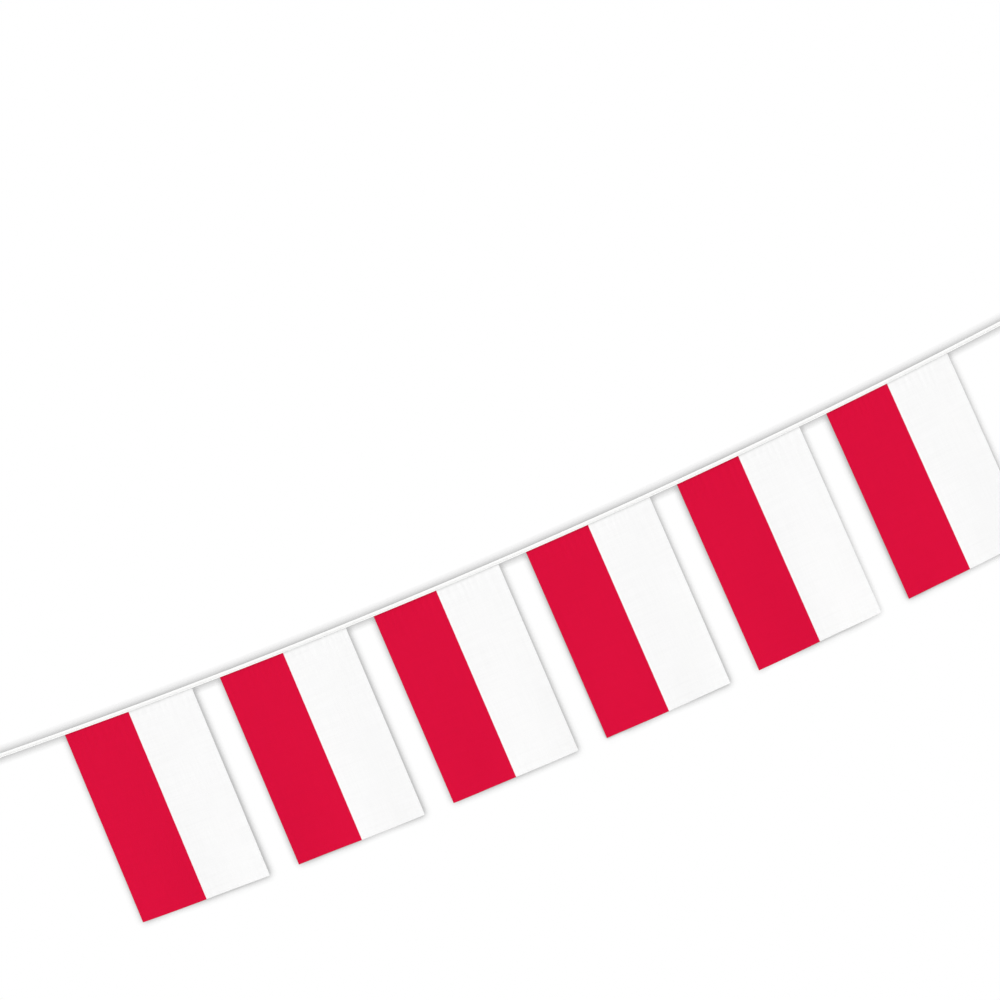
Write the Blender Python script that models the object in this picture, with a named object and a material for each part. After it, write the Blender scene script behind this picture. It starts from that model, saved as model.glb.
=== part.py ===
"""A string of six upright two-colour flags whose top edges are tucked into one folded tape.

It hangs as a shallow level swag, held at both ends of the tape. +X runs along the tape, -Y is the face of the
flags and +Z is up. The origin is the left end of the tape, where the string is held. Sizes are in metres.
"""
import bmesh
import bpy
from collections import namedtuple
from math import asinh, atan, cos, pi, sin, sqrt

# Driving dimensions of the string
FLAG_WIDTH = 0.150
FLAG_DROP = 0.225
FLAG_SPACING = 0.033
LEAD_LENGTH = 0.120
SAG = 0.0255

# Driving dimensions of the cloth and the tape
CLOTH_THICKNESS = 0.001
TAPE_THICKNESS = 0.001
TAPE_DEPTH = 0.0045
CLEARANCE = 0.0003

# How the tape closes between the flags: how far past a flag it stays open, and how soon it is shut
OPEN_MARGIN = 0.0015
PINCH_LENGTH = 0.009

# A flag turns with the tape by this share of the tape's slope, and its own weight holds back the rest
LEAN_SHARE = 0.24

# Waves across a flag's width, and how far each flag is from flat at its hem
WAVES_ACROSS = 1.25
Flag = namedtuple("Flag", "wave phase twist curl")
FLAGS = (
    Flag(wave=0.0016, phase=0.05, twist=+0.0020, curl=+0.0008),
    Flag(wave=0.0021, phase=0.55, twist=-0.0012, curl=-0.0006),
    Flag(wave=0.0014, phase=0.30, twist=+0.0010, curl=+0.0012),
    Flag(wave=0.0019, phase=0.80, twist=-0.0022, curl=+0.0005),
    Flag(wave=0.0023, phase=0.15, twist=+0.0014, curl=-0.0009),
    Flag(wave=0.0015, phase=0.65, twist=-0.0016, curl=+0.0010),
)

# Mesh steps
FLAG_COLUMNS = 12
FLAG_ROWS = 16
TAPE_STEPS_ON_FLAG = 6
TAPE_STEPS_ON_PINCH = 3
TAPE_STEPS_ON_LEAD = 5
FOLD_STEPS = 4

# Worked out from the sizes above
PITCH = FLAG_WIDTH + FLAG_SPACING
TAPE_LENGTH = len(FLAGS) * FLAG_WIDTH + (len(FLAGS) - 1) * FLAG_SPACING + 2 * LEAD_LENGTH
CATENARY = (TAPE_LENGTH / 2) ** 2 / (2 * SAG)
OPEN_HALF_SLOT = CLOTH_THICKNESS / 2 + CLEARANCE
SHUT_HALF_SLOT = CLEARANCE / 2


def flag_middle(number):
    """Length along the tape, from its middle, at which a flag is centred."""
    return (number - (len(FLAGS) - 1) / 2) * PITCH


def smooth(share):
    """Ease from 0 to 1 with no kink at either end."""
    share = min(max(share, 0.0), 1.0)
    return share * share * (3 - 2 * share)


def catenary(length):
    """Place in X and Z of the swag at a length along it, both measured from its lowest point."""
    return CATENARY * asinh(length / CATENARY), sqrt(CATENARY ** 2 + length ** 2) - CATENARY


def tape_line(length):
    """Place in X and Z of the tape's mid-depth line, measured from the tape's left end."""
    x, z = catenary(length)
    left_x, left_z = catenary(-TAPE_LENGTH / 2)
    return x - left_x, z - left_z


def tape_slope(length):
    """Slope of the tape in radians, rising to the right."""
    return atan(length / CATENARY)


def half_slot(length):
    """Half the space between the tape's two layers: open over a flag, shut between flags."""
    nearest = min(abs(length - flag_middle(number)) for number in range(len(FLAGS)))
    past_flag = nearest - FLAG_WIDTH / 2 - OPEN_MARGIN
    shut = smooth(past_flag / PINCH_LENGTH)
    return OPEN_HALF_SLOT + (SHUT_HALF_SLOT - OPEN_HALF_SLOT) * shut


def spread(start, end, steps):
    """Evenly spaced lengths from start up to, but not including, end."""
    return [start + (end - start) * step / steps for step in range(steps)]


def tape_stations():
    """Lengths along the tape at which its section is set, closer together where it pinches shut."""
    half_open = FLAG_WIDTH / 2 + OPEN_MARGIN
    half_reach = half_open + PINCH_LENGTH
    first_reach = flag_middle(0) - half_reach
    lengths = spread(-TAPE_LENGTH / 2, first_reach, TAPE_STEPS_ON_LEAD)
    for number in range(len(FLAGS)):
        middle = flag_middle(number)
        lengths += spread(middle - half_reach, middle - half_open, TAPE_STEPS_ON_PINCH)
        lengths += spread(middle - half_open, middle + half_open, TAPE_STEPS_ON_FLAG)
        lengths += spread(middle + half_open, middle + half_reach, TAPE_STEPS_ON_PINCH)
    lengths += spread(-first_reach, TAPE_LENGTH / 2, TAPE_STEPS_ON_LEAD)
    return lengths + [TAPE_LENGTH / 2]


def tape_section(half_gap):
    """Middle of the folded strip as (Y, height) points: up the front layer, over the fold, down the back."""
    radius = half_gap + TAPE_THICKNESS / 2
    mouth = -TAPE_DEPTH / 2
    axis = TAPE_DEPTH / 2 - TAPE_THICKNESS / 2 - radius
    points = [(-radius, mouth)]
    for step in range(FOLD_STEPS + 1):
        angle = pi * step / FOLD_STEPS
        points.append((-radius * cos(angle), axis + radius * sin(angle)))
    points.append((radius, mouth))
    return points


def fabric_material(name, colour, roughness):
    material = bpy.data.materials.new(name)
    material.use_nodes = True
    shader = material.node_tree.nodes["Principled BSDF"]
    shader.inputs["Base Color"].default_value = colour
    shader.inputs["Roughness"].default_value = roughness
    shader.inputs["Metallic"].default_value = 0.0
    material.diffuse_color = colour
    return material


def add_sheet(name, grid, thickness, materials, parent):
    """Turn a placed grid into a smooth-shaded object that a Solidify modifier gives its thickness."""
    bmesh.ops.recalc_face_normals(grid, faces=grid.faces)
    mesh = bpy.data.meshes.new(name)
    grid.to_mesh(mesh)
    grid.free()
    for material in materials:
        mesh.materials.append(material)
    mesh.shade_smooth()
    sheet = bpy.data.objects.new(name, mesh)
    bpy.context.scene.collection.objects.link(sheet)
    sheet.parent = parent
    solidify = sheet.modifiers.new("Thickness", "SOLIDIFY")
    solidify.thickness = thickness
    solidify.offset = 0.0
    solidify.use_even_offset = True
    return sheet


def make_tape(parent, material):
    """One strip, folded lengthways, that follows the swag from end to end."""
    lengths = tape_stations()
    across = len(tape_section(OPEN_HALF_SLOT)) - 1
    along = len(lengths) - 1
    grid = bmesh.new()
    bmesh.ops.create_grid(grid, x_segments=along, y_segments=across, size=0.5)
    for vert in grid.verts:
        length = lengths[round((vert.co.x + 0.5) * along)]
        y, height = tape_section(half_slot(length))[round((vert.co.y + 0.5) * across)]
        x, z = tape_line(length)
        slope = tape_slope(length)
        vert.co = (x - height * sin(slope), y, z + height * cos(slope))
    return add_sheet("tape", grid, TAPE_THICKNESS, [material], parent)


def depth_from_flat(flag, across, down):
    """How far a flag stands off its plane; across runs from -0.5 to 0.5, down from 0 at the tape to 1."""
    ripple = flag.wave * sin(2 * pi * (WAVES_ACROSS * across + flag.phase))
    corners = flag.curl * down * (2 * abs(across)) ** 4
    return smooth(down) * (ripple + flag.twist * across + corners)


def make_flag(number, parent, red, white):
    """One upright panel: its top edge follows the tape, its sides hang nearly plumb."""
    flag = FLAGS[number]
    middle = flag_middle(number)
    lean = LEAN_SHARE * tape_slope(middle)
    middle_x, middle_z = tape_line(middle)
    top = TAPE_DEPTH / 2 - TAPE_THICKNESS - OPEN_HALF_SLOT - CLEARANCE / 2
    mouth = -TAPE_DEPTH / 2

    grid = bmesh.new()
    bmesh.ops.create_grid(grid, x_segments=FLAG_COLUMNS, y_segments=FLAG_ROWS, size=0.5)
    for face in grid.faces:
        face.material_index = 0 if face.calc_center_median().x < 0 else 1
    for vert in grid.verts:
        across = vert.co.x
        row = round((0.5 - vert.co.y) * FLAG_ROWS)
        down = max(row - 1, 0) / (FLAG_ROWS - 1)
        height = top if row == 0 else mouth - FLAG_DROP * down
        x, z = tape_line(middle + across * FLAG_WIDTH)
        x, z = x - middle_x, z - middle_z
        x, z = x * cos(lean) + z * sin(lean), z * cos(lean) - x * sin(lean)
        vert.co = (x, depth_from_flat(flag, across, down), z + height)

    panel = add_sheet(f"flag_{number + 1}", grid, CLOTH_THICKNESS, [red, white], parent)
    panel.location = (middle_x, 0, middle_z)
    panel.rotation_euler.y = -lean
    return panel


for old in list(bpy.data.objects):
    bpy.data.objects.remove(old, do_unlink=True)

string = bpy.data.objects.new("bunting", None)
bpy.context.scene.collection.objects.link(string)

tape_white = fabric_material("tape_white", (0.90, 0.90, 0.89, 1.0), 0.80)
flag_red = fabric_material("flag_red", (0.70, 0.007, 0.045, 1.0), 0.65)
flag_white = fabric_material("flag_white", (0.90, 0.90, 0.90, 1.0), 0.65)

make_tape(string, tape_white)
for flag_number in range(len(FLAGS)):
    make_flag(flag_number, string, flag_red, flag_white)
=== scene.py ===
"""The look of a string of red and white flags: printed cloth, tucked and sewn into a folded white tape.

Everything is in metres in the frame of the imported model: +X runs along the tape, -Y is the face of the
flags and +Z is up. The string hangs level, and the camera is turned about its own axis to the slant of
the photograph.
"""

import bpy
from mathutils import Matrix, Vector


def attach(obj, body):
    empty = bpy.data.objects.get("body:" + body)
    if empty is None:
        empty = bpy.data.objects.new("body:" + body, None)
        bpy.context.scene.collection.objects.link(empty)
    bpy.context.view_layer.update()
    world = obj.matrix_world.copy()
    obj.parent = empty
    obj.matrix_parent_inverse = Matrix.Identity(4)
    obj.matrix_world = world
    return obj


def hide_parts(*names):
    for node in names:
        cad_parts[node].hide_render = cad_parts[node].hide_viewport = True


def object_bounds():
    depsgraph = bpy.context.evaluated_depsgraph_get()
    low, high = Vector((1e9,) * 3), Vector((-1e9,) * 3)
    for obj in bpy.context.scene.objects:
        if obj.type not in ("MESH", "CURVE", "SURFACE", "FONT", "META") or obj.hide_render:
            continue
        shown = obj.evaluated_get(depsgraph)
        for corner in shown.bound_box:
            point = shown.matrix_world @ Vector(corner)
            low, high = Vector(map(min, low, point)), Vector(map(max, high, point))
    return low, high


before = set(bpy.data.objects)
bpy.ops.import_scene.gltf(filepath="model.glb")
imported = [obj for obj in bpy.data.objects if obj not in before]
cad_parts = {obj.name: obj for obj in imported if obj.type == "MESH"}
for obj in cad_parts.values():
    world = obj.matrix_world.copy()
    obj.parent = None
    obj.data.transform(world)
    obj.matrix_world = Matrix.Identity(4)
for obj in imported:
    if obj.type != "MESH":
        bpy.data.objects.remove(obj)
cad_box = [list(corner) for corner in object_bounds()]

from collections import namedtuple
from math import asinh, atan, copysign, cos, exp, pi, radians, sin, sqrt

import bmesh
import bpy
from mathutils import Matrix, Vector, noise

scene = bpy.context.scene

# The camera
# A long lens looks square at the cloth, and the camera is turned so that the level string rises to the
# right. The frame is as wide as the stretch of string that the photograph shows.
FRAME_WIDTH = 1.1068
CAMERA_ROLL = radians(23.4)
CAMERA_AIM = Vector((0.665, 0.0, 0.0365))
LENS_MM = 100.0

camera_data = bpy.data.cameras.new("camera")
camera_data.lens = LENS_MM
camera = bpy.data.objects.new("camera", camera_data)
scene.collection.objects.link(camera)
camera_distance = FRAME_WIDTH * LENS_MM / camera_data.sensor_width
camera.matrix_world = (
    Matrix.Translation(CAMERA_AIM + Vector((0.0, -camera_distance, 0.0)))
    @ Matrix.Rotation(pi / 2, 4, "X")
    @ Matrix.Rotation(-CAMERA_ROLL, 4, "Z")
)
scene.camera = camera

# The header tape
# One strip of narrow woven polyester tape, folded lengthways over the flags' top edges. It is held at its
# two ends and sags as a chain does. Stitches pull its layers together, and its fold stays a little full.

# The line on which the string hangs, counted from its middle
FLAG_COUNT = 6
FLAG_WIDTH = 0.150
FLAG_SPACING = 0.033
LEAD_LENGTH = 0.120
SAG = 0.0255
PITCH = FLAG_WIDTH + FLAG_SPACING
TAPE_LENGTH = FLAG_COUNT * FLAG_WIDTH + (FLAG_COUNT - 1) * FLAG_SPACING + 2 * LEAD_LENGTH
CATENARY = (TAPE_LENGTH / 2) ** 2 / (2 * SAG)

# The strip and its row of stitches
TAPE_DEPTH = 0.0045
TAPE_THICKNESS = 0.0006
OPEN_MARGIN = 0.0015
PINCH_LENGTH = 0.009
STITCH_HEIGHT = 0.0012
STITCH_LENGTH = 0.0030
UNSEWN_STITCHES = 2
STATIONS_PER_STITCH = 3
DIMPLE_DEPTH = 0.00014
DIMPLE_REACH = 0.0005
# The painted shade round each stitch hole, where the tape dimples: how far it reaches and how dark it is
HOLE_REACH = 0.00045
HOLE_PAINTED_SHADE = 0.62

# The weave: its ribs' and yarns' spacing, what each adds to the relief, and the painted shade between them
TAPE_WHITE = (0.965, 0.965, 0.96, 1.0)
TAPE_RELIEF = 0.00008
RIB_PITCH = 0.0008
RIB_SHARE = 0.7
YARN_PITCH = 0.0005
YARN_SHARE = 0.5
UNEVEN_SHARE = 0.3
UNEVEN_SHADE = 0.985
# How dark the painted shade in the grooves between ribs and yarns is, and the height it reaches up to
GROOVE_PAINTED_SHADE = 0.955
GROOVE_TOP = 0.5

# The range that most of a noise texture's values lie in
NOISE_LOW = 0.3
NOISE_HIGH = 0.7

# The sharpest bend that still shades as one smooth face
SMOOTH_ANGLE = radians(50)

# The folded strip's section in millimetres: the height above its mouth, and how far out the middle of its
# layers stands there, over a flag and between two flags
MILLIMETRE = 0.001
Level = namedtuple("Level", "height over_flag between")
TAPE_LEVELS = (
    Level(height=0.00, over_flag=0.84, between=0.64),
    Level(height=0.35, over_flag=0.79, between=0.60),
    Level(height=0.75, over_flag=0.70, between=0.53),
    Level(height=1.20, over_flag=0.62, between=0.47),
    Level(height=1.65, over_flag=0.73, between=0.58),
    Level(height=2.25, over_flag=0.99, between=0.86),
    Level(height=2.95, over_flag=1.19, between=1.09),
    Level(height=3.45, over_flag=1.18, between=1.11),
    Level(height=3.86, over_flag=0.94, between=0.89),
    Level(height=4.12, over_flag=0.51, between=0.49),
    Level(height=4.20, over_flag=0.00, between=0.00),
)


def flag_middle(number):
    """The length along the string at which a flag is centred."""
    return (number - (FLAG_COUNT - 1) / 2) * PITCH


def smooth(share):
    """Ease from 0 to 1 with no kink at either end."""
    share = min(max(share, 0.0), 1.0)
    return share * share * (3 - 2 * share)


def catenary(length):
    """The place on the chain's curve, measured from its lowest point, at a length from its middle."""
    rise = sqrt(CATENARY ** 2 + length ** 2) - CATENARY
    return Vector((CATENARY * asinh(length / CATENARY), 0.0, rise))


def tape_slope(length):
    """The tape's slope in radians, rising to the right."""
    return atan(length / CATENARY)


def on_string(length, height, depth, turn):
    """A point at a length along the tape, and a height above its mid-depth line turned by an angle."""
    point = catenary(length) - catenary(-TAPE_LENGTH / 2)
    return point + Vector((-height * sin(turn), depth, height * cos(turn)))


def between_flags(length):
    """0 over a flag, 1 where the tape is shut between two flags, and a soft change where it pinches."""
    nearest = min(abs(length - flag_middle(number)) for number in range(FLAG_COUNT))
    return smooth((nearest - FLAG_WIDTH / 2 - OPEN_MARGIN) / PINCH_LENGTH)


def tape_half_width(level, length):
    """Half the folded tape's width in metres at one level, measured to the middle of its layers."""
    shut = between_flags(length)
    return (level.over_flag * (1 - shut) + level.between * shut) * MILLIMETRE


def tape_section(length, at_hole):
    """The strip's middle as (depth, height) points: up the front, over the fold and down the back."""
    front = []
    for level in TAPE_LEVELS:
        height = level.height * MILLIMETRE
        dimple = DIMPLE_DEPTH * at_hole * exp(-((height - STITCH_HEIGHT) / DIMPLE_REACH) ** 2)
        front.append((-tape_half_width(level, length) + dimple, height - TAPE_DEPTH / 2))
    return front + [(-depth, height) for depth, height in front[-2::-1]]


def flat_lengths(section):
    """How far along the strip's own width each point of a section lies."""
    lengths = [0.0]
    for (depth, height), (next_depth, next_height) in zip(section, section[1:]):
        step = sqrt((next_depth - depth) ** 2 + (next_height - height) ** 2)
        lengths.append(lengths[-1] + step)
    return lengths


def sheet_of(name, grid, places, thickness, material):
    """A thin closed piece from a placed grid. places holds each vertex's two lengths on the flat cloth."""
    bmesh.ops.recalc_face_normals(grid, faces=grid.faces)
    layer = grid.loops.layers.uv.new("cloth")
    for face in grid.faces:
        for loop in face.loops:
            loop[layer].uv = places[loop.vert]
    middle_layer = bpy.data.meshes.new(name)
    grid.to_mesh(middle_layer)
    grid.free()
    middle_layer.shade_smooth()
    middle_layer.materials.append(material)
    sheet = bpy.data.objects.new(name, middle_layer)
    scene.collection.objects.link(sheet)
    solidify = sheet.modifiers.new("thickness", "SOLIDIFY")
    solidify.thickness = thickness
    solidify.offset = 0.0
    solidify.use_even_offset = True
    evaluated = sheet.evaluated_get(bpy.context.evaluated_depsgraph_get())
    shell = bpy.data.meshes.new_from_object(evaluated)
    sheet.modifiers.clear()
    sheet.data = shell
    shell.name = name
    shell.set_sharp_from_angle(angle=SMOOTH_ANGLE)
    return sheet


class Value:
    """A socket's value among the nodes, on which Python arithmetic adds Math nodes."""

    def __init__(self, finish, socket):
        self.finish = finish
        self.socket = socket

    def maths(self, operation, first, second=0.0):
        return self.finish.add("ShaderNodeMath", {"operation": operation}, {0: first, 1: second})

    def __add__(self, other):
        return self.maths("ADD", self, other)

    def __sub__(self, other):
        return self.maths("SUBTRACT", self, other)

    def __rsub__(self, other):
        return self.maths("SUBTRACT", other, self)

    def __mul__(self, other):
        return self.maths("MULTIPLY", self, other)

    def __truediv__(self, other):
        return self.maths("DIVIDE", self, other)

    def __pow__(self, other):
        return self.maths("POWER", self, other)

    def __abs__(self):
        return self.maths("ABSOLUTE", self)

    __radd__ = __add__
    __rmul__ = __mul__

    def sine(self):
        return self.maths("SINE", self)

    def least(self, other):
        return self.maths("MINIMUM", self, other)

    def most(self, other):
        return self.maths("MAXIMUM", self, other)


class Finish:
    """The nodes of a material or of the studio, added one at a time, with constants on their shader."""

    def __init__(self, owner, shader="Principled BSDF", **constants):
        owner.use_nodes = True
        self.owner = owner
        self.tree = owner.node_tree
        self.nodes = self.tree.nodes
        self.shader = self.nodes[shader]
        for socket, value in constants.items():
            self.shader.inputs[socket.replace("_", " ")].default_value = value

    def add(self, kind, settings, inputs, output=0):
        """One more node, with its settings made first, then its inputs, and the value of one output."""
        node = self.nodes.new(kind)
        for name, value in settings.items():
            setattr(node, name, value)
        self.feed(node, inputs)
        return Value(self, node.outputs[output])

    def feed(self, node, inputs):
        """Link a node's inputs to values, or set them to constants."""
        for name, value in inputs.items():
            if isinstance(value, Value):
                self.tree.links.new(value.socket, node.inputs[name])
            else:
                node.inputs[name].default_value = value

    def split(self, vector):
        """The three parts of a vector, each as a value."""
        node = self.add("ShaderNodeSeparateXYZ", {}, {0: vector}).socket.node
        return [Value(self, socket) for socket in node.outputs]

    def cloth_place(self):
        """The two lengths in metres that a piece's own UV map holds, along its first and second way."""
        return self.split(self.add("ShaderNodeUVMap", {"uv_map": "cloth"}, {}))[:2]

    def streaks(self, first, second, width, length):
        """Long uneven streaks, from 0 to 1, of a width and length in metres, that run the second way."""
        place = self.add("ShaderNodeCombineXYZ", {}, {"X": first / width, "Y": second / length})
        return self.add("ShaderNodeTexNoise", {}, {"Vector": place, "Scale": 1.0, "Detail": 2.0})

    def between(self, value, low, high, new_low, new_high):
        """A value taken smoothly from one range to another."""
        inputs = {"Value": value, "From Min": low, "From Max": high, "To Min": new_low, "To Max": new_high}
        return self.add("ShaderNodeMapRange", {"interpolation_type": "SMOOTHSTEP"}, inputs)

    def brightness(self, value, low, high, darkest):
        """How bright a place is: darkest where a value is low, rising to 1 where it is high."""
        return self.between(value, low, high, darkest, 1.0)

    def mix(self, blend, factor, first, second):
        """Two colours blended by a factor: a Mix node's inputs 6 and 7 and its output 2 are colours."""
        settings = {"data_type": "RGBA", "blend_type": blend}
        return self.add("ShaderNodeMix", settings, {"Factor": factor, 6: first, 7: second}, output=2)

    def dimmed(self, colour, bright):
        """A colour made darker by how bright each place is."""
        grey = self.add("ShaderNodeCombineColor", {}, {"Red": bright, "Green": bright, "Blue": bright})
        return self.mix("MULTIPLY", 1.0, colour, grey)

    def raise_by(self, height, distance):
        """A Bump node on the shader's Normal, for relief too fine for the mesh."""
        bump = self.add("ShaderNodeBump", {}, {"Height": height, "Distance": distance})
        self.feed(self.shader, {"Normal": bump})


def tape_finish():
    """White woven tape: crosswise ribs over lengthwise yarns, with painted shade in the grooves and at
    each hole.
    """
    finish = Finish(bpy.data.materials.new("woven_tape"), Roughness=0.78, Specular_IOR_Level=0.2)
    along, across = finish.cloth_place()
    ribs = abs((along * (pi / RIB_PITCH)).sine())
    yarns = abs((across * (pi / YARN_PITCH)).sine())
    uneven = finish.streaks(across, along, width=0.0012, length=0.030)
    finish.raise_by(ribs * RIB_SHARE + yarns * YARN_SHARE + uneven * UNEVEN_SHARE, TAPE_RELIEF)

    # Distance from the nearest stitch hole, for the painted shade of its dimple
    past_hole = ((along - first_hole) * (pi / STITCH_LENGTH)).sine() * (STITCH_LENGTH / pi)
    past_row = abs(across - tape_flat_width / 2) - (tape_flat_width / 2 - stitch_flat_place)
    from_hole = past_hole * past_hole + past_row * past_row
    # Painted shade in the grooves and round each stitch hole, with the uneven streaks' own tone
    bright = finish.brightness(ribs * yarns, 0.0, GROOVE_TOP, GROOVE_PAINTED_SHADE)
    bright = bright * finish.brightness(uneven, NOISE_LOW, NOISE_HIGH, UNEVEN_SHADE)
    bright = bright * finish.brightness(from_hole, 0.0, HOLE_REACH ** 2, HOLE_PAINTED_SHADE)
    finish.feed(finish.shader, {"Base Color": finish.dimmed(TAPE_WHITE, bright)})
    return finish.owner


stitch_level = min(TAPE_LEVELS, key=lambda level: abs(level.height * MILLIMETRE - STITCH_HEIGHT))
flat_places = flat_lengths(tape_section(flag_middle(0), 0.0))
stitch_flat_place = flat_places[TAPE_LEVELS.index(stitch_level)]
tape_flat_width = flat_places[-1]
stitch_count = round(TAPE_LENGTH / STITCH_LENGTH) - UNSEWN_STITCHES
first_hole = -stitch_count * STITCH_LENGTH / 2
tape_steps = round(TAPE_LENGTH / STITCH_LENGTH) * STATIONS_PER_STITCH
tape_across = 2 * (len(TAPE_LEVELS) - 1)

grid = bmesh.new()
bmesh.ops.create_grid(grid, x_segments=tape_steps, y_segments=tape_across, size=0.5)
tape_places = {}
for vert in grid.verts:
    length = vert.co.x * TAPE_LENGTH
    point = round((vert.co.y + 0.5) * tape_across)
    holes_along = (length - first_hole) / STITCH_LENGTH
    at_hole = max(0.0, 1.0 - STATIONS_PER_STITCH * abs(holes_along - round(holes_along)))
    section = tape_section(length, at_hole)
    depth, height = section[point]
    tape_places[vert] = (length, flat_lengths(section)[point])
    vert.co = on_string(length, height, depth, tape_slope(length))
header_tape = sheet_of("header_tape", grid, tape_places, TAPE_THICKNESS, tape_finish())
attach(header_tape, "root")
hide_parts("tape")

# The stitching
# One row of lockstitch in white polyester thread holds the fold shut over the flags. On each face the
# thread lies along the tape from hole to hole, slants a little, and dips where it goes through.
THREAD_RADIUS = 0.00019
THREAD_SLANT = 0.00016
THREAD_WHITE = (0.86, 0.86, 0.85, 1.0)
TWIST_PITCH = 0.0006
TWIST_RELIEF = 0.00005
POINTS_PER_STITCH = 4

# How far the thread's middle stands off the tape, as a share of its radius, and how it dips at a hole
THREAD_LIFT = 0.7
DIP_DEPTH = 0.00030
DIP_SHARPNESS = 8


def thread_finish():
    """Spun polyester thread, with the fine slanting ridges of its twist."""
    material = bpy.data.materials.new("sewing_thread")
    finish = Finish(material, Base_Color=THREAD_WHITE, Roughness=0.55, Sheen_Weight=0.2)
    x, y, z = finish.split(finish.add("ShaderNodeTexCoord", {}, {}, output="Object"))
    finish.raise_by(((x + y + z) * (2 * pi / TWIST_PITCH)).sine(), TWIST_RELIEF)
    return finish.owner


def thread_points(side):
    """The thread's path on one face: side is -1 for the front and +1 for the back."""
    for step in range(POINTS_PER_STITCH * stitch_count + 1):
        share = step % POINTS_PER_STITCH / POINTS_PER_STITCH
        length = first_hole + step * STITCH_LENGTH / POINTS_PER_STITCH
        face = tape_half_width(stitch_level, length) + TAPE_THICKNESS / 2
        lift = THREAD_RADIUS * THREAD_LIFT - DIP_DEPTH * cos(pi * share) ** DIP_SHARPNESS
        height = STITCH_HEIGHT - TAPE_DEPTH / 2 + THREAD_SLANT * (share - 0.5) * side
        yield on_string(length, height, side * (face + lift), tape_slope(length))


thread_material = thread_finish()
for name, side in (("stitching_front", -1), ("stitching_back", 1)):
    route = list(thread_points(side))
    curve = bpy.data.curves.new(name, "CURVE")
    curve.dimensions = "3D"
    curve.bevel_depth = THREAD_RADIUS
    curve.bevel_resolution = 1
    curve.use_fill_caps = True
    spline = curve.splines.new("POLY")
    spline.points.add(len(route) - 1)
    for spline_point, place in zip(spline.points, route):
        spline_point.co = (*place, 1.0)
    curve.materials.append(thread_material)
    row = bpy.data.objects.new(name, curve)
    scene.collection.objects.link(row)
    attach(row, "root")

# The flags
# Each is one upright panel of light polyester cloth, printed red on one half and left white on the other,
# with heat-cut edges. Its top edge is tucked into the tape, its sides hang nearly plumb, and it waves.
FLAG_DROP = 0.225
CLOTH_THICKNESS = 0.0003
FOLD_ROOM = 0.0012
LEAN_SHARE = 0.24
FLAG_COLUMNS = 100
FLAG_ROWS = 130
ROW_CROWDING = 1.35

# The main waves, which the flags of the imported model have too
WAVES_ACROSS = 1.25
CURL_POWER = 4
Flag = namedtuple("Flag", "wave phase twist curl")
FLAGS = (
    Flag(wave=0.0016, phase=0.05, twist=+0.0020, curl=+0.0008),
    Flag(wave=0.0021, phase=0.55, twist=-0.0012, curl=-0.0006),
    Flag(wave=0.0014, phase=0.30, twist=+0.0010, curl=+0.0012),
    Flag(wave=0.0019, phase=0.80, twist=-0.0022, curl=+0.0005),
    Flag(wave=0.0023, phase=0.15, twist=+0.0014, curl=-0.0009),
    Flag(wave=0.0015, phase=0.65, twist=-0.0016, curl=+0.0010),
)

# The finer drape, free from a little below the tape down: soft waves, puckers by the tape, uneven edges
FREE_BELOW = 0.004
DRAPE_DEPTH = 0.0007
DRAPE_SIZE = 0.055
PUCKER_PITCH = 0.0085
PUCKER_DRIFT = 0.3
PUCKER_DRIFT_SIZE = 0.03
PUCKER_DEPTH = 0.00030
PUCKER_REACH = 0.012
EDGE_RIPPLE = 0.0008
EDGE_RIPPLE_SIZE = 0.017
EDGE_RIPPLE_REACH = 0.007

# Places in the noise, so that no two flags, and no two kinds of unevenness, come out alike
FLAG_NOISE_STEP = 5.0
PUCKER_NOISE = 1.0
SIDE_NOISE = 4.0
HEM_NOISE = 9.0

# The print: how soft its edge is, and how far it wanders along the thin yarns
PRINT_RED = (0.705, 0.001, 0.0415, 1.0)
CLOTH_WHITE = (0.94, 0.94, 0.94, 1.0)
PRINT_BLUR = 0.00012
PRINT_WANDER = 0.0003

# The plain weave with painted shade between its threads, and its yarns, thicker and thinner in long
# streaks
THREAD_PITCH = 0.00036
WEAVE_RELIEF = 0.00010
WEAVE_SHARE = 0.4
WEAVE_TOP = 1.2
WEAVE_PAINTED_SHADE = 0.94
SLUB_WIDTH = 0.0011
SLUB_LENGTH = 0.060
SLUB_SHARE = 0.5
SLUB_SHADE = 0.965

# The sealed edge, which is darker and smoother, and the soft painted shade under the tape
CLOTH_ROUGHNESS = 0.62
SEALED_EDGE = 0.0007
SEALED_DARKER = 0.16
SEALED_SMOOTHER = 0.22
TAPE_PAINTED_SHADE = 0.88
TAPE_PAINTED_SHADE_REACH = 0.0038


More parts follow.
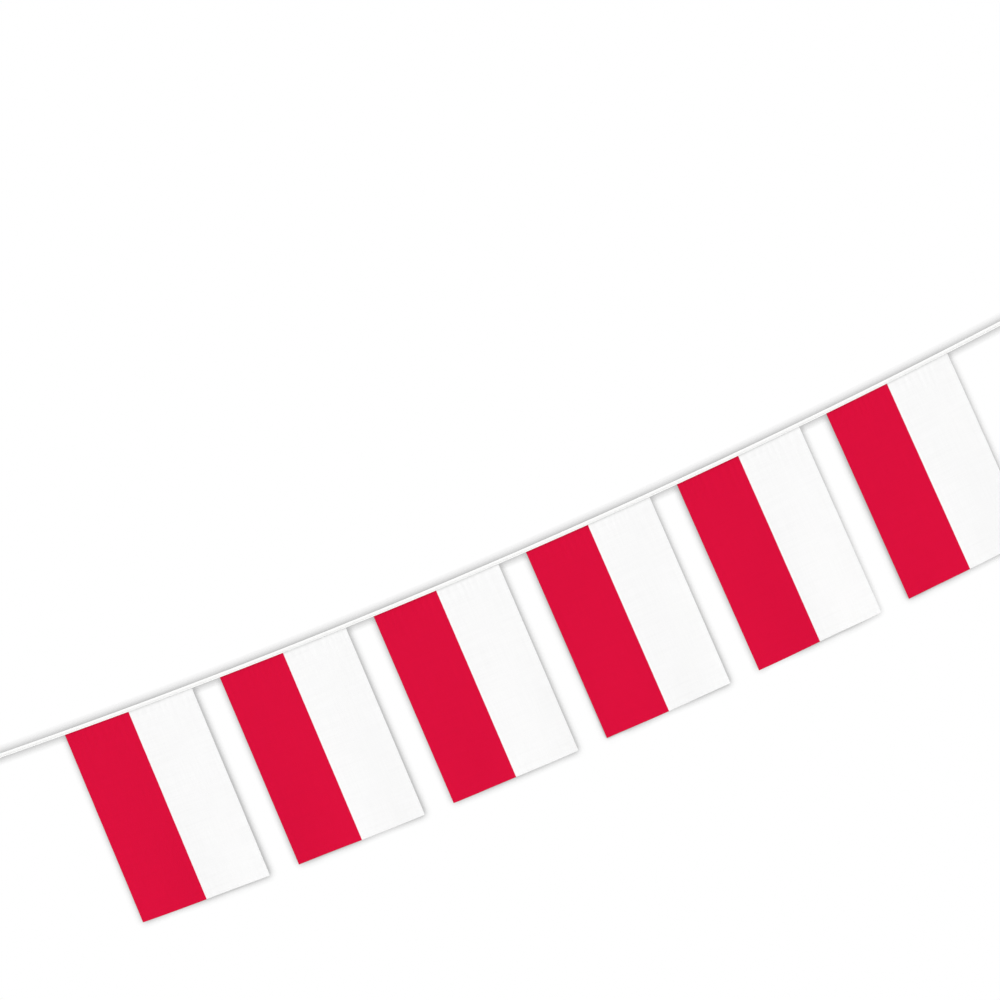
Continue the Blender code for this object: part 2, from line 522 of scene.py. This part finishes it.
def cloth_finish():
    """Light plain-weave polyester, printed through, with a sealed edge where a hot knife cut it."""
    finish = Finish(
        bpy.data.materials.new("printed_cloth"),
        Specular_IOR_Level=0.07,
        Subsurface_Weight=0.12,
        Subsurface_Scale=0.0004,
        Subsurface_Radius=(1.0, 1.0, 1.0),
    )
    across, down = finish.cloth_place()
    wander = finish.streaks(down, across, width=0.0015, length=0.010)
    past_middle = across - FLAG_WIDTH / 2 + (wander - 0.5) * PRINT_WANDER
    printed = finish.between(past_middle, -PRINT_BLUR, PRINT_BLUR, 0.0, 1.0)
    colour = finish.mix("MIX", printed, PRINT_RED, CLOTH_WHITE)

    over_warp = (across * (pi / THREAD_PITCH)).sine()
    over_weft = (down * (pi / THREAD_PITCH)).sine()
    crossing = over_warp * over_weft
    weave = (abs(over_warp) + crossing).most(abs(over_weft) - crossing)
    warp = finish.streaks(across, down, SLUB_WIDTH, SLUB_LENGTH)
    weft = finish.streaks(down, across, SLUB_WIDTH, SLUB_LENGTH)
    finish.raise_by(weave * WEAVE_SHARE + warp * SLUB_SHARE + weft * SLUB_SHARE, WEAVE_RELIEF)

    from_edge = across.least(FLAG_WIDTH - across).least(FLAG_DROP - down)
    sealed = finish.between(from_edge, SEALED_EDGE / 2, SEALED_EDGE, 1.0, 0.0)
    bright = finish.brightness(warp + weft, 2 * NOISE_LOW, 2 * NOISE_HIGH, SLUB_SHADE)
    # Painted shade between the weave's threads
    bright = bright * finish.brightness(weave, 0.0, WEAVE_TOP, WEAVE_PAINTED_SHADE)
    # Painted shade on the cloth just under the tape's edge, darkest at the tape
    bright = bright * finish.brightness(down, 0.0, TAPE_PAINTED_SHADE_REACH, TAPE_PAINTED_SHADE)
    bright = bright * (1 - sealed * SEALED_DARKER)
    finish.feed(finish.shader, {
        "Base Color": finish.dimmed(colour, bright),
        "Roughness": CLOTH_ROUGHNESS - sealed * SEALED_SMOOTHER,
    })
    return finish.owner


def flag_depth(number, across, below):
    """How far a flag stands off its plane; across is from -0.5 to 0.5, below in metres under the tape."""
    flag = FLAGS[number]
    down = max(below, 0.0) / FLAG_DROP
    ripple = flag.wave * sin(2 * pi * (WAVES_ACROSS * across + flag.phase))
    corners = flag.curl * down * (2 * abs(across)) ** CURL_POWER
    main_waves = smooth(down) * (ripple + flag.twist * across + corners)

    x = across * FLAG_WIDTH
    seed = FLAG_NOISE_STEP * number
    drape = DRAPE_DEPTH * noise.noise(Vector((x / DRAPE_SIZE, below / DRAPE_SIZE, seed)))

    drift = PUCKER_DRIFT * noise.noise(Vector((x / PUCKER_DRIFT_SIZE, seed, PUCKER_NOISE)))
    pucker_wave = sin(2 * pi * x / (PUCKER_PITCH * (1 + drift)) + seed)
    pucker = PUCKER_DEPTH * pucker_wave * exp(-max(below, 0.0) / PUCKER_REACH)

    from_side = FLAG_WIDTH / 2 - abs(x)
    along_side = Vector((copysign(SIDE_NOISE, x), below / EDGE_RIPPLE_SIZE, seed))
    side_ripple = noise.noise(along_side) * exp(-from_side / EDGE_RIPPLE_REACH)
    from_hem = FLAG_DROP - below
    along_hem = Vector((x / EDGE_RIPPLE_SIZE, HEM_NOISE, seed))
    hem_ripple = noise.noise(along_hem) * exp(-from_hem / EDGE_RIPPLE_REACH)
    edges = EDGE_RIPPLE * (side_ripple + hem_ripple)
    return main_waves + smooth(below / FREE_BELOW) * (drape + pucker + edges)


cloth_material = cloth_finish()
top = TAPE_DEPTH - FOLD_ROOM
for number in range(FLAG_COUNT):
    middle = flag_middle(number)
    lean = LEAN_SHARE * tape_slope(middle)
    grid = bmesh.new()
    bmesh.ops.create_grid(grid, x_segments=FLAG_COLUMNS, y_segments=FLAG_ROWS, size=0.5)
    cloth_places = {}
    for vert in grid.verts:
        across = vert.co.x
        below = (FLAG_DROP + top) * (0.5 - vert.co.y) ** ROW_CROWDING - top
        depth = flag_depth(number, across, below)
        cloth_places[vert] = ((across + 0.5) * FLAG_WIDTH, below)
        vert.co = on_string(middle + across * FLAG_WIDTH, -TAPE_DEPTH / 2 - below, depth, lean)
    panel = sheet_of(f"flag_panel_{number + 1}", grid, cloth_places, CLOTH_THICKNESS, cloth_material)
    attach(panel, "root")
    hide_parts(f"flag_{number + 1}")

# The shade and the floor
# The photograph's ground is plain white, with a thin soft shade round the cloth, as a white wall close
# behind it would show. A clear sheet there carries that shade alone. The floor is plain and pale.
SHADE_GAP = 0.0055
SHADE_SIZE = (1.45, 0.40)
SHADE_REACH = 0.0105
SHADE_POWER = 1.5
SHADE_DEEPEST = 0.5
SHADE_SAMPLES = 8
FLOOR_BELOW = 1.2
FLOOR_SIZE = (5.0, 5.0)
FLOOR_PALE = (0.76, 0.76, 0.755, 1.0)


def stage_plane(name, size, place, material):
    """A flat plane round the object, which isn't part of it."""
    plane = bmesh.new()
    bmesh.ops.create_grid(plane, x_segments=1, y_segments=1, size=0.5)
    bmesh.ops.transform(plane, matrix=place @ Matrix.Diagonal((*size, 1.0, 1.0)), verts=plane.verts)
    mesh = bpy.data.meshes.new(name)
    plane.to_mesh(mesh)
    plane.free()
    mesh.materials.append(material)
    stage = bpy.data.objects.new(name, mesh)
    scene.collection.objects.link(stage)
    return stage


def shade_finish():
    """Clear but for a neutral grey where the cloth in front shuts out the light."""
    finish = Finish(bpy.data.materials.new("wall_shade"))
    settings = {"samples": SHADE_SAMPLES}
    open_share = finish.add("ShaderNodeAmbientOcclusion", settings, {"Distance": SHADE_REACH}, output="AO")
    light = (open_share ** SHADE_POWER).most(SHADE_DEEPEST)
    shut_out = (1 - light) / (1 - SHADE_DEEPEST)
    deepest_grey = (SHADE_DEEPEST, SHADE_DEEPEST, SHADE_DEEPEST, 1.0)
    clear = finish.add("ShaderNodeBsdfTransparent", {}, {"Color": (1.0, 1.0, 1.0, 1.0)})
    shaded = finish.add("ShaderNodeBsdfTransparent", {}, {"Color": deepest_grey})
    sheet = finish.add("ShaderNodeMixShader", {}, {0: shut_out, 1: clear, 2: shaded})
    finish.feed(finish.nodes["Material Output"], {"Surface": sheet})
    return finish.owner


def floor_finish():
    """Plain and pale, with hardly any gloss."""
    material = bpy.data.materials.new("plain_floor")
    return Finish(material, Base_Color=FLOOR_PALE, Roughness=0.8, Specular_IOR_Level=0.1).owner


string_middle = sum((Vector(corner) for corner in cad_box), Vector()) / 2
behind = Matrix.Translation((string_middle.x, SHADE_GAP, string_middle.z))
upright = Matrix.Rotation(pi / 2, 4, "X")
wall_shade = stage_plane("wall_shade", SHADE_SIZE, behind @ upright, shade_finish())
wall_shade.visible_diffuse = False
wall_shade.visible_glossy = False
wall_shade.visible_transmission = False
wall_shade.visible_shadow = False
underneath = Matrix.Translation((string_middle.x, 0.0, cad_box[0][2] - FLOOR_BELOW))
stage_plane("floor", FLOOR_SIZE, underneath, floor_finish())

# The light
# Even white light from all round, as in a studio with pale walls, and white where the photograph looks. A
# large soft lamp from its upper left gives the waves their shade, and another stands behind the cloth.
STUDIO_STRENGTH = 0.74
GROUND_STRENGTH = 1.0
GROUND_ANGLE = radians(16)
GROUND_FADE = radians(6)
LAMP_SPREAD = radians(35)
Lamp = namedtuple("Lamp", "name place strength")
LAMPS = (
    Lamp(name="front_lamp", place=Vector((-1.1, -2.2, 1.0)), strength=1.32),
    Lamp(name="rear_lamp", place=Vector((1.1, 2.2, 0.5)), strength=1.12),
)

studio = Finish(bpy.data.worlds.new("studio"), shader="Background", Color=(1.0, 1.0, 1.0, 1.0))
outward = studio.add("ShaderNodeTexCoord", {}, {})
ahead = studio.split(outward)[1]
fade_end = cos(GROUND_ANGLE + GROUND_FADE)
strength = studio.between(ahead, fade_end, cos(GROUND_ANGLE), STUDIO_STRENGTH, GROUND_STRENGTH)
studio.feed(studio.shader, {"Strength": strength})
scene.world = studio.owner

for lamp in LAMPS:
    lamp_data = bpy.data.lights.new(lamp.name, "SUN")
    lamp_data.energy = lamp.strength
    lamp_data.angle = LAMP_SPREAD
    lamp_object = bpy.data.objects.new(lamp.name, lamp_data)
    scene.collection.objects.link(lamp_object)
    facing = lamp.place.to_track_quat("Z", "Y").to_matrix().to_4x4()
    lamp_object.matrix_world = Matrix.Translation(lamp.place) @ facing

scene.view_settings.view_transform = "Standard"
